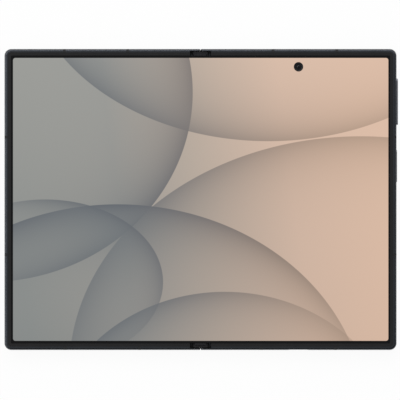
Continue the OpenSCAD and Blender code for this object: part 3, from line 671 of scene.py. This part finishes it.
# %% Petals
def petal(finish, below, x, y, close_tone, wide_tone, centre, radius, flat, facing, reach,
          strength):
    """Lays one petal over the picture so far, with its two shadows just inside the rim."""
    depth = radius - finish.distance(x, y, *centre, flat)
    toward = ((x - centre[0]) * (facing[0] * flat) + (y - centre[1]) * facing[1]) * (1 / radius)
    side = toward.step(0.1, 1.0) * 0.75 + 0.25
    inside = depth.step(-0.12, 0.12)
    wide, close = [(depth * (-1.0 / fade)).ceiling_at(0.0).math("EXPONENT") for fade in
                   (reach, reach * 0.3)]
    cloth = finish.mix(inside * wide * side * strength, below, wide_tone)
    return finish.mix(inside * close * side * (strength * 0.6), cloth, close_tone)


def petals(finish, x, y):
    """The picture's colour at a place on the display, in millimetres from its middle."""
    across = (x * (1 / (LIT_RIGHT - LIT_LEFT)) + 0.5 + y * 0.0008).floor_at(0.0).ceiling_at(1.0)
    ground = finish.node("ShaderNodeValToRGB", {"stops": [
        (0.0, tone(156, 157, 153)), (0.28, tone(158, 158, 154)), (0.5, tone(189, 175, 162)),
        (0.75, tone(218, 190, 171)), (1.0, tone(222, 191, 170))]}, {"Fac": across}, "Color")
    low = (y * (-0.5 / LIT_TOP) + 0.5).floor_at(0.0).ceiling_at(1.0)
    picture = finish.mix(low * (1 - across) * 0.85, ground, tone(134, 138, 137))
    picture = finish.mix(low * across * 0.4, picture, tone(205, 172, 149))
    warmth = across.step(0.25, 1.0)
    close_tone = finish.mix(warmth, DUSK, EARTH)
    wide_tone = finish.mix(warmth, MIST, SAND)
    for shape in PETALS:
        picture = petal(finish, picture, x, y, close_tone, wide_tone, *shape)
    return picture


# %% Display finish
def lit_display(name):
    finish = Finish(name)
    uv = finish.node("ShaderNodeUVMap", {"uv_map": "open_place"}, None, "UV")
    u = finish.node("ShaderNodeSeparateXYZ", None, {"Vector": uv}, "X")
    v = finish.node("ShaderNodeSeparateXYZ", None, {"Vector": uv}, "Y")
    x = (u - 0.5) * (2 * half_width / MM)
    y = (v - 0.5) * (2 * half_height / MM)
    middle_x, middle_y = (LIT_LEFT + LIT_RIGHT) / 2, (LIT_BOTTOM + LIT_TOP) / 2
    reach_x = (LIT_RIGHT - LIT_LEFT) / 2 - LIT_CORNER
    reach_y = (LIT_TOP - LIT_BOTTOM) / 2 - LIT_CORNER
    out_x = ((x - middle_x).abs() - reach_x).floor_at(0.0)
    out_y = ((y - middle_y).abs() - reach_y).floor_at(0.0)
    lit = (out_x * out_x + out_y * out_y).power(0.5).step(LIT_CORNER + 0.05, LIT_CORNER - 0.05)
    film = finish.noise(0.12, detail=1.0)
    crease = (x * x * -0.09).math("EXPONENT")
    finish.set(Base_Color=finish.mix(lit, tone(24, 24, 25), tone(3, 3, 3)),
               Emission_Color=finish.mix(lit, tone(0, 0, 0), petals(finish, x, y)),
               Emission_Strength=1.0, Specular_IOR_Level=0.06,
               Roughness=film * 0.04 + 0.1, Normal=finish.bump(crease + film * 0.02, 0.06, 0.4))
    return finish.material


display_finish = lit_display("lit_display")
print("the picture has", len(display_finish.node_tree.nodes), "nodes")

# %% [markdown]
# ## The display that folds
#
# On the real phone this is one sheet with a thin flexible glass on top. It lies flat on both
# halves and makes a loop over the hinge when they close. We make it in two pieces that meet
# on the hinge line. Close cuts cross the stretch next to that line, while the flat rest has
# only its outline, with a round hole for the inner camera on the right.

# %% Display sheets
BEND_STEPS = 32
HOLE = centre_of("inner_camera")
HOLE_RADIUS = 1.95 * MM
CORNER = 0.7 * MM


def bend_strips(maker, z):
    """Close cuts across the stretch that bends, which is a little lower at the end caps."""
    y = fold_high.y
    for i in range(BEND_STEPS):
        near, far = [fold_high.x * (1 - (i + k) / BEND_STEPS) for k in (0, 1)]
        maker.faces.new([maker.verts.new(point) for point in
                         ((near, -y, z), (near, y, z), (far, y, z), (far, -y, z))])


def close_sides(maker):
    """Joins the rims of the upper and lower faces with walls."""
    above = {}
    for edge in [edge for edge in maker.edges if edge.is_boundary]:
        place = tuple(sorted((round(v.co.x, 7), round(v.co.y, 7)) for v in edge.verts))
        above.setdefault(place, []).append(edge)
    for pair in above.values():
        if len(pair) == 2:
            bmesh.ops.bridge_loops(maker, edges=pair)


def display_side(name, side, hole):
    """One half of the display sheet: side is 1 for the right half and -1 for the left."""
    maker = bmesh.new()
    edge, top = display_high.x, display_high.y
    outline = [(fold_high.x, -top)]
    outline += rounded_corner(edge - CORNER, -top + CORNER, CORNER, 3)
    outline += rounded_corner(edge - CORNER, top - CORNER, CORNER, 0)
    outline += [(fold_high.x, y) for y in (top, fold_high.y, -fold_high.y)]
    for z in (display_z, display_z - display_thickness):
        fill_loops(maker, [outline] + hole, z)
        bend_strips(maker, z)
    bmesh.ops.remove_doubles(maker, verts=maker.verts, dist=1e-7)
    for face in maker.faces:
        if (face.normal.z > 0) != (face.calc_center_median().z > display_z - MM * 0.01):
            face.normal_flip()
    close_sides(maker)
    bmesh.ops.recalc_face_normals(maker, faces=maker.faces)
    if side < 0:
        bmesh.ops.transform(maker, matrix=Matrix.Scale(-1, 4, (1, 0, 0)), verts=maker.verts)
        bmesh.ops.reverse_faces(maker, faces=maker.faces)
    layer = maker.loops.layers.uv.new("open_place")
    for face in maker.faces:
        for corner in face.loops:
            corner[layer].uv = (corner.vert.co.x / (2 * half_width) + 0.5,
                                corner.vert.co.y / (2 * half_height) + 0.5)
    return new_piece(name, maker, display_finish, None, smooth=False)


camera_hole = [circle(HOLE.x, HOLE.y, HOLE_RADIUS)]
right_display = display_side("display_sheet_main", 1, camera_hole)
left_display = display_side("display_sheet_cover", -1, [])
for piece, half, side in ((right_display, "main_half", 1), (left_display, "cover_half", -1)):
    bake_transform(piece)
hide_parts("display_main", "display_fold")
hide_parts("display_cover")
print("display faces:", len(right_display.data.polygons), len(left_display.data.polygons))

# %% [markdown]
# ## The inner camera
#
# Through the hole one sees a black ring, and in it a small dark glass with two faint glints.
# The glints need a steep little lens, because a flat glass would only mirror the ceiling. So
# the barrel is turned in one outline: a matt ring, a sunk pane, and a dome in its middle. Its
# glass gets a painted sheen for the coloured reflection of a lens coating, a tint that goes from
# blue in the middle to violet at the edge.

# %% Lens glass with a painted sheen
def painted_sheen_glass(name, centres, radius, middle, edge):
    """Dark glass with a painted sheen: its tint stands in for a coating's coloured reflection and
    changes with the distance from the nearest lens centre.
    """
    finish = Finish(name)
    x, y, _ = finish.place()
    share = (finish.nearest(x, y, centres) / radius).ceiling_at(1.0)
    finish.set(Base_Color=finish.mix(share, middle, edge), Roughness=share * 0.03 + 0.03,
               Coat_Weight=0.35, Coat_Roughness=0.02, Specular_IOR_Level=0.3)
    return finish.material


hole_centre = Vector((HOLE.x, HOLE.y, display_z))
selfie_glass = painted_sheen_glass("selfie_glass", [hole_centre], 1.3, tone(14, 15, 20), tone(8, 8, 9))

# %% Barrel, dome and body of the inner camera
BODY_HIGH = 1.9
DOME_RADIUS, DOME_HIGH, DOME_STEPS = 0.62, 0.13, 10
inner_low, inner_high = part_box("inner_camera")
barrel_foot = (display_z - inner_low.z) / MM - BODY_HIGH
barrel = turned("inner_camera_barrel", [
    (0, barrel_foot), (1.7, barrel_foot), (1.7, 0.9), (1.86, 0.85), (1.86, 0.09), (1.82, 0.05),
    (1.5, 0.07), (1.34, 0.15), (1.34, 0.17), (0, 0.17)],
    [hole_centre], -1, cap_black, "main_half")
dome_curve = [(DOME_RADIUS * math.cos(a), 0.165 - DOME_HIGH * math.sin(a))
              for a in [math.pi / 2 * i / DOME_STEPS for i in range(DOME_STEPS)]]
dome = turned("inner_camera_glass", [
    (0, 0.2), (1.33, 0.2), (1.33, 0.155), (0.8, 0.16)] + dome_curve + [(0, 0.035)],
    [hole_centre], -1, selfie_glass, "main_half")
box_x, box_y = [(inner_low[i], inner_high[i]) for i in (0, 1)]
camera_box = plates("inner_camera_body", [[rounded_box(box_x, box_y, 0.5 * MM)]],
                    (inner_low.z, inner_low.z + BODY_HIGH * MM), module_black, "main_half")
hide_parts("inner_camera")
print("inner camera at", [round(c / MM, 2) for c in hole_centre])

# %% [markdown]
# ## The rear cameras and the flash
#
# Each rear camera has a cover glass inside its metal ring. The glass is printed black from
# behind, all but a round window, and through that window one sees a black well step down to
# the domed front lens. Clear glass over the well would only add noise to every picture, so the
# window is left open, and the polish is on the printed part and the dome. The flash is a milky
# plastic lens with fine circular prisms, which spread the light.

# %% Wells
WELL_EDGES = (3.3, 2.85, 2.42)
FRONT_RADIUS, FRONT_HIGH, FRONT_STEPS = 2.35, 0.3, 12
lens_low, lens_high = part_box("camera_lenses")
glass_radius = (lens_high.x - lens_low.x) / 2 / MM
lens_centres = [Vector((c.x, c.y, lens_low.z)) for c in RING_CENTRES]


def well_black(name):
    """Polished outside the window, and matt inside it with a line of light on each step."""
    finish = Finish(name)
    x, y, _ = finish.place()
    away = finish.nearest(x, y, lens_centres)
    lines = sum([(away - radius).abs().step(0.09, 0.02) for radius in WELL_EDGES], 0.0)
    inside = away.step(WELL_EDGES[0] + 0.06, WELL_EDGES[0])
    grain = finish.noise(0.2)
    finish.set(Base_Color=finish.mix(lines, tone(9, 9, 10), tone(70, 70, 78)),
               Roughness=inside * 0.35 + grain * 0.04 + 0.03, Specular_IOR_Level=0.4)
    return finish.material


steps = [(0, 0.6), (glass_radius, 0.6), (glass_radius, 0.04), (glass_radius - 0.04, 0),
         (3.34, 0), (3.3, 0.04), (3.25, 0.2), (2.85, 0.22), (2.8, 0.3), (2.42, 0.32),
         (2.4, 0.42), (0, 0.42)]
well = turned("rear_camera_wells", steps, lens_centres, 1, well_black("well_black"),
              "main_half")
rear_dome = [(FRONT_RADIUS * math.cos(a), 0.41 - FRONT_HIGH * math.sin(a))
             for a in [math.pi / 2 * i / FRONT_STEPS for i in range(FRONT_STEPS)]]
# The front lenses' tint is a painted sheen too: blue in the middle to violet at the edge, for the
# coating's coloured reflection.
rear_lens_painted_sheen = painted_sheen_glass("rear_lens_painted_sheen", lens_centres, 2.4, tone(20, 26, 52),
                            tone(34, 16, 40))
front_lens = turned("rear_camera_front_lenses", [(0, 0.44), (FRONT_RADIUS, 0.44)] + rear_dome
                    + [(0, 0.11)], lens_centres, 1, rear_lens_painted_sheen, "main_half")
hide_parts("camera_lenses")
print("rear cameras:", len(lens_centres), "with glass of radius", round(glass_radius, 2), "mm")

# %% Flash
flash_low, flash_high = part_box("flash_lens")
flash_radius = (flash_high.x - flash_low.x) / 2 / MM
flash_deep = (flash_high.z - flash_low.z) / MM
flash_centre = Vector((centre_of("flash_lens").x, centre_of("flash_lens").y, flash_low.z))
PRISMS = 9


def milky_plastic(name, colour, warm):
    """A diffuser, with the warm chip behind it showing through its middle."""
    finish = Finish(name)
    x, y, _ = finish.place()
    away = finish.distance(x, y, flash_centre.x / MM, flash_centre.y / MM)
    chip = away.step(0.75, 0.45)
    grain = finish.noise(0.15)
    finish.set(Base_Color=finish.mix(chip, colour, warm), Roughness=grain * 0.1 + 0.15,
               Specular_IOR_Level=0.5, Coat_Weight=0.4)
    return finish.material


prisms = [(0, flash_deep), (flash_radius, flash_deep), (flash_radius, 0.05),
          (flash_radius - 0.05, 0)]
for i in range(PRISMS):
    outer = (flash_radius - 0.12) * (1 - i / PRISMS)
    prisms += [(outer, 0.0), (outer - 0.02, 0.07)]
flash = turned("flash_prisms", prisms + [(0, 0.02)], [flash_centre], 1,
               milky_plastic("milky_plastic", tone(226, 222, 210), tone(226, 196, 96)),
               "main_half")
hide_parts("flash_lens")
print("flash has", PRISMS, "prisms")

# %% [markdown]
# ## Small things in the openings
#
# A socket without contacts looks like a plain slot, so its tongue gets a black sleeve and two
# rows of twelve gold contacts. The sound slots get a woven mesh a little way in, which keeps
# dust out on the real phone.

# %% Socket tongue and contacts
TONGUE_HALF_WIDE, TONGUE_HALF_HIGH = 3.38 * MM, 0.37 * MM
CONTACTS = 12
CONTACT_PITCH, CONTACT_LENGTH = 0.5 * MM, 2.6 * MM
CONTACT_HALF_WIDE, CONTACT_HALF_HIGH = 0.13 * MM, 0.385 * MM


def around(middle, half):
    """The two limits that lie half a width to either side of a middle."""
    return (middle - half, middle + half)


socket_low, socket_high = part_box("usb_c_socket")
socket_centre = centre_of("usb_c_socket")
tongue_front = socket_low.y + 0.96 * MM
tongue_back = socket_high.y - 0.7 * MM
tongue_outline = rounded_box(around(socket_centre.x, TONGUE_HALF_WIDE),
                             (tongue_front, tongue_back), 0.3 * MM)
sleeve = plates("socket_tongue", [[tongue_outline]], around(socket_centre.z, TONGUE_HALF_HIGH),
                module_black, "main_half")
rows = []
for i in range(CONTACTS):
    x = socket_centre.x + (i - (CONTACTS - 1) / 2) * CONTACT_PITCH
    start = tongue_front + (0.35 if i % 3 else 0.15) * MM
    rows.append([rounded_box(around(x, CONTACT_HALF_WIDE), (start, start + CONTACT_LENGTH),
                             0.04 * MM, 2)])
contacts = plates("socket_contacts", rows, around(socket_centre.z, CONTACT_HALF_HIGH), gold_plate,
                  "main_half")
print("contacts:", CONTACTS, "on each face of the tongue")


# %% Mesh behind the sound slots
THREADS = 42.0


def woven_mesh(name):
    finish = Finish(name)
    x, _, z = finish.place()
    weave = (x * THREADS).sin() * (z * THREADS).sin() * 0.5 + 0.5
    finish.set(Base_Color=finish.mix(weave, tone(8, 8, 9), tone(44, 45, 48)), Metallic=0.6,
               Roughness=weave * 0.2 + 0.4, Normal=finish.bump(weave, 0.02, 0.8))
    return finish.material


mesh_finish = woven_mesh("woven_mesh")
SLOT_PITCH = 2.9 * MM
SLOT_HALF_WIDE, SLOT_HALF_HIGH = 0.97 * MM, 0.42 * MM
SPEAKER_X, SPEAKER_SLOTS = 64.5 * MM, 5
EARPIECE_X, EARPIECE_SLOTS = -46.5 * MM, 3
MESH_DEPTH = 0.8 * MM
SIDE_HOLE_Z = frame_low.z + 2.1 * MM


def slot_mesh(name, first_x, count, depth_y, body, step):
    """One small tile of mesh in each slot, upright and facing along Y."""
    stand = Matrix.Translation((0, depth_y, 0)) @ Matrix.Rotation(math.pi / 2, 4, "X")
    tiles = []
    for i in range(count):
        x = first_x + i * step
        tiles.append([rounded_box(around(x, SLOT_HALF_WIDE), around(SIDE_HOLE_Z, SLOT_HALF_HIGH),
                                  0.4 * MM)])
    return plates(name, tiles, around(0, 0.03 * MM), mesh_finish, body, stand)


speaker_mesh = slot_mesh("speaker_mesh", SPEAKER_X, SPEAKER_SLOTS, -half_height + MESH_DEPTH,
                         "main_half", SLOT_PITCH)
earpiece_mesh = slot_mesh("earpiece_mesh", EARPIECE_X, EARPIECE_SLOTS, half_height - MESH_DEPTH,
                          "cover_half", -SLOT_PITCH)
print("mesh tiles are in the slots")

# %% [markdown]
# ## The flexible circuit across the hinge
#
# A ribbon of film carries the signals from one half to the other, and it bends with the fold as
# the display does. So it is made as two strips with close cross sections, each between its half
# and the spine.

# %% Ribbon
flex_low, flex_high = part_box("hinge_flex")
FLEX_STEPS = 28


def ribbon_side(name, side):
    maker = bmesh.new()
    sections = []
    for i in range(FLEX_STEPS + 1):
        x = side * flex_high.x * (1 - i / FLEX_STEPS)
        sections.append([maker.verts.new((x, y, z)) for y, z in (
            (flex_low.y, flex_low.z), (flex_high.y, flex_low.z),
            (flex_high.y, flex_high.z), (flex_low.y, flex_high.z))])
    for first, second in zip(sections, sections[1:]):
        for i in range(4):
            maker.faces.new((first[i - 1], first[i], second[i], second[i - 1]))
    maker.faces.new(sections[0])
    maker.faces.new(sections[-1])
    bmesh.ops.recalc_face_normals(maker, faces=maker.faces)
    layer = maker.loops.layers.uv.new("open_place")
    for face in maker.faces:
        for corner in face.loops:
            corner[layer].uv = (corner.vert.co.x / MM, corner.vert.co.y / MM)
    return new_piece(name, maker, flex_film, None, smooth=False)


for half, side in (("main_half", 1), ("cover_half", -1)):
    ribbon = ribbon_side("hinge_ribbon_" + half, side)
    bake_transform(ribbon)
    if side > 0:
        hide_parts("hinge_flex")
print("ribbon strips made with", FLEX_STEPS, "steps each")

# %% [markdown]
# ## Floor, background and light
#
# The phone lies on a white table, and the background is white all over. Making that white
# with strong lamps would bleach the phone, so the table and the world show white to the camera,
# less of it in reflections, and light the phone at a plain level. The table keeps a share of its
# real shading, and with it the phone's soft shadow. In reflections the world is brighter on the
# left and at the back, as from a window, and darker overhead, as with a black card above a
# product, so the rim gets its bright side and the flat dark parts stay dark.

# %% Floor and world
SHOWN_TO_CAMERA = 0.93
SHOWN_IN_GLOSS = 0.45


def seen_share(finish, to_camera, in_gloss):
    """A share for rays that look: from the camera, or off something glossy or through glass."""
    glossy, through, straight = [finish.node("ShaderNodeLightPath", output=kind) for kind in
                                 ("Is Glossy Ray", "Is Transmission Ray", "Is Camera Ray")]
    return glossy.floor_at(through) * in_gloss + straight * to_camera


def table_finish():
    finish = Finish("white_table")
    white = finish.node("ShaderNodeEmission", None, {"Color": (1, 1, 1, 1), "Strength": 1.0})
    finish.set(Base_Color=(0.9, 0.9, 0.9, 1), Roughness=0.9, Specular_IOR_Level=0.0)
    output = finish.tree.nodes["Material Output"]
    shader = Wire(finish, finish.shader.outputs[0])
    both = finish.node("ShaderNodeMixShader", None,
                       {0: seen_share(finish, SHOWN_TO_CAMERA, SHOWN_IN_GLOSS),
                        1: shader, 2: white})
    finish.feed(output.inputs["Surface"], both)
    return finish.material


table_mesh = bpy.data.meshes.new("table")
TABLE = 2.0
table_mesh.from_pydata([(-TABLE, -TABLE, 0), (TABLE, -TABLE, 0), (TABLE, TABLE, 0),
                        (-TABLE, TABLE, 0)], [], [(0, 1, 2, 3)])
table_mesh.materials.append(table_finish())
table = bpy.data.objects.new("table", table_mesh)
bpy.context.scene.collection.objects.link(table)

# %% World
class Sky(Finish):
    """The world's nodes, used in the same way as a finish's."""

    def __init__(self, world):
        world.use_nodes = True
        self.tree = world.node_tree
        self.shader = self.tree.nodes["Background"]


world = bpy.data.worlds.new("studio")
bpy.context.scene.world = world
sky = Sky(world)
FILL = 0.55
OVERHEAD = 0.42
direction = sky.node("ShaderNodeTexCoord", output="Generated")
toward_x, toward_y, height = [sky.node("ShaderNodeSeparateXYZ", None, {"Vector": direction}, axis)
                              for axis in ("X", "Y", "Z")]
to_window = toward_y * 0.6 - toward_x * 0.8
side_light = to_window.step(-0.4, 0.4) + 0.1
reflected = (1 - height.step(0.25, 0.9) * (1 - OVERHEAD)) * side_light
straight = sky.node("ShaderNodeLightPath", output="Is Camera Ray")
glossy = seen_share(sky, 0.0, 1.0)
sky.set(Color=(1, 1, 1, 1),
        Strength=straight + glossy * reflected + (1 - straight - glossy) * FILL)
print("floor and world are ready")

# %% Lamps
def soft_lamp(name, place, size, power):
    data = bpy.data.lights.new(name, "AREA")
    data.shape = "RECTANGLE"
    data.size, data.size_y = size
    data.energy = power
    lamp = bpy.data.objects.new(name, data)
    lamp.location = place
    lamp.rotation_euler = (-Vector(place)).to_track_quat("-Z", "Y").to_euler()
    bpy.context.scene.collection.objects.link(lamp)
    return lamp


lamps = [
    soft_lamp("lamp_left", (-0.75, 0.3, 0.95), (0.9, 0.6), 5.0),
    soft_lamp("lamp_right", (0.8, 0.2, 0.95), (0.9, 0.6), 0.8),
    soft_lamp("lamp_back", (0.1, 0.85, 0.9), (1.2, 0.5), 4.5),
]
print("lamps:", [lamp.name for lamp in lamps])

# %% [markdown]
# ## The view transform
#
# Nothing made here may make the phone bigger than its CAD model. The standard view transform
# shows the colours as they are written.

# %% Settings
bpy.context.scene.view_settings.view_transform = "Standard"
